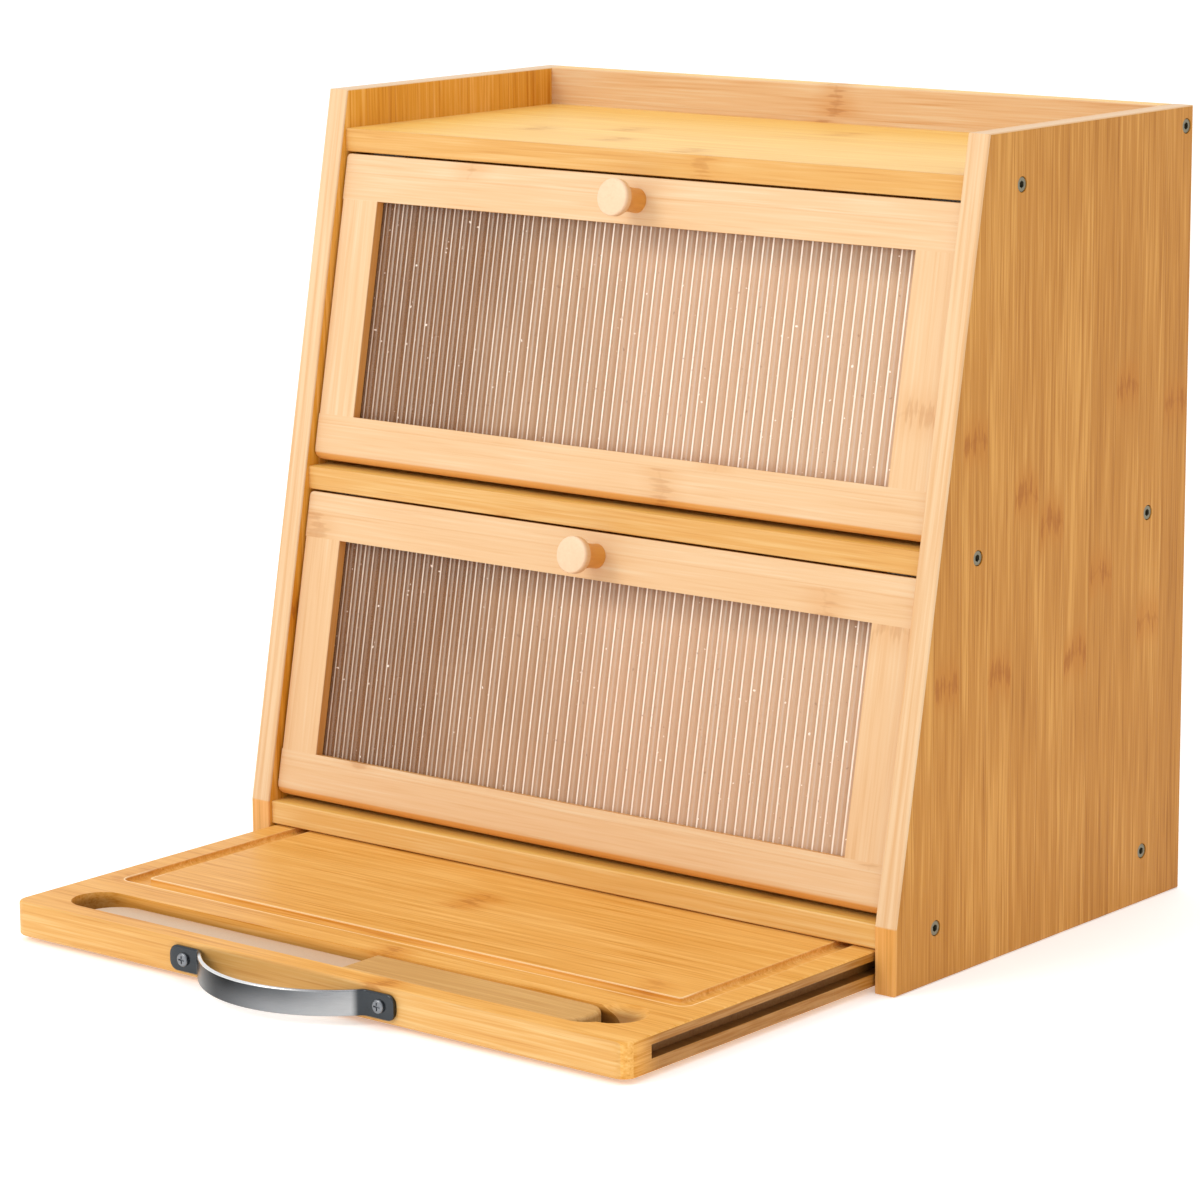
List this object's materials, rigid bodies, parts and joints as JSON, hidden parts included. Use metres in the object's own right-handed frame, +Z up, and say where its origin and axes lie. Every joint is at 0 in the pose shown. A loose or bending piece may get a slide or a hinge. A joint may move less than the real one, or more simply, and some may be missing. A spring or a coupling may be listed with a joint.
{
  "type": "bread box with drawer",
  "caption": "Tiered wooden bread box with a sloping front, drop-down doors with reeded windows and round knobs, and a pull-out cutting board with a bow handle and a knife.",
  "frame": {"origin": "on the floor, under the middle of the whole object with its board pulled out as far as the picture shows", "axes": "+Z up, +Y towards the back, -Y out of the front where the board slides, +X to the right as seen from the front"},
  "size_m": [0.38, 0.422, 0.366],
  "materials": {
    "side_bamboo": "satin lacquer",
    "shelf_bamboo": "satin lacquer",
    "door_bamboo": "satin lacquer",
    "knob_wood": "satin lacquer",
    "board_bamboo": "oiled",
    "grip_wood": "satin",
    "clear_acrylic": "clear, reeded",
    "bow_steel": "dark polished",
    "blade_steel": "satin",
    "screw_steel": "satin",
    "magnet_steel": "plated",
    "catch_plastic": "matt"
  },
  "bodies": {
    "root": {"back_panel": "shelf_bamboo", "back_rail": "shelf_bamboo", "bottom_shelf": "shelf_bamboo", "catch_magnets": "magnet_steel", "catch_screws": "screw_steel", "left_board_runner": "shelf_bamboo", "left_side_panel": "side_bamboo", "left_side_screws": "screw_steel", "lower_magnet_catches": "catch_plastic", "middle_shelf": "shelf_bamboo", "right_board_runner": "shelf_bamboo", "right_side_panel": "side_bamboo", "right_side_screws": "screw_steel", "top_shelf": "shelf_bamboo", "upper_magnet_catches": "catch_plastic"},
    "upper_door": {"upper_door_bottom_rail": "door_bamboo", "upper_door_hinge_pins": "screw_steel", "upper_door_knob": "knob_wood", "upper_door_knob_screw": "screw_steel", "upper_door_left_stile": "door_bamboo", "upper_door_right_stile": "door_bamboo", "upper_door_strike_plates": "screw_steel", "upper_door_strike_screws": "screw_steel", "upper_door_top_rail": "door_bamboo", "upper_door_window": "clear_acrylic"},
    "lower_door": {"lower_door_bottom_rail": "door_bamboo", "lower_door_hinge_pins": "screw_steel", "lower_door_knob": "knob_wood", "lower_door_knob_screw": "screw_steel", "lower_door_left_stile": "door_bamboo", "lower_door_right_stile": "door_bamboo", "lower_door_strike_plates": "screw_steel", "lower_door_strike_screws": "screw_steel", "lower_door_top_rail": "door_bamboo", "lower_door_window": "clear_acrylic"},
    "cutting_board": {"board": "board_bamboo", "bow_handle": "bow_steel", "handle_screws": "screw_steel", "knife_blade": "blade_steel", "knife_handle": "grip_wood"}
  },
  "joints": [
    {"name": "upper_door_hinge", "type": "hinge", "parent": "root", "child": "upper_door", "pos_m": [0, 0.02542, 0.1966], "axis": [1, 0, 0], "range_deg": [0, 110]},
    {"name": "lower_door_hinge", "type": "hinge", "parent": "root", "child": "lower_door", "pos_m": [0, -0.00534, 0.0376], "axis": [1, 0, 0], "range_deg": [0, 96]},
    {"name": "board_slide", "type": "slide", "parent": "root", "child": "cutting_board", "axis": [0, -1, 0], "range_m": [-0.169, 0.015]}
  ]
}
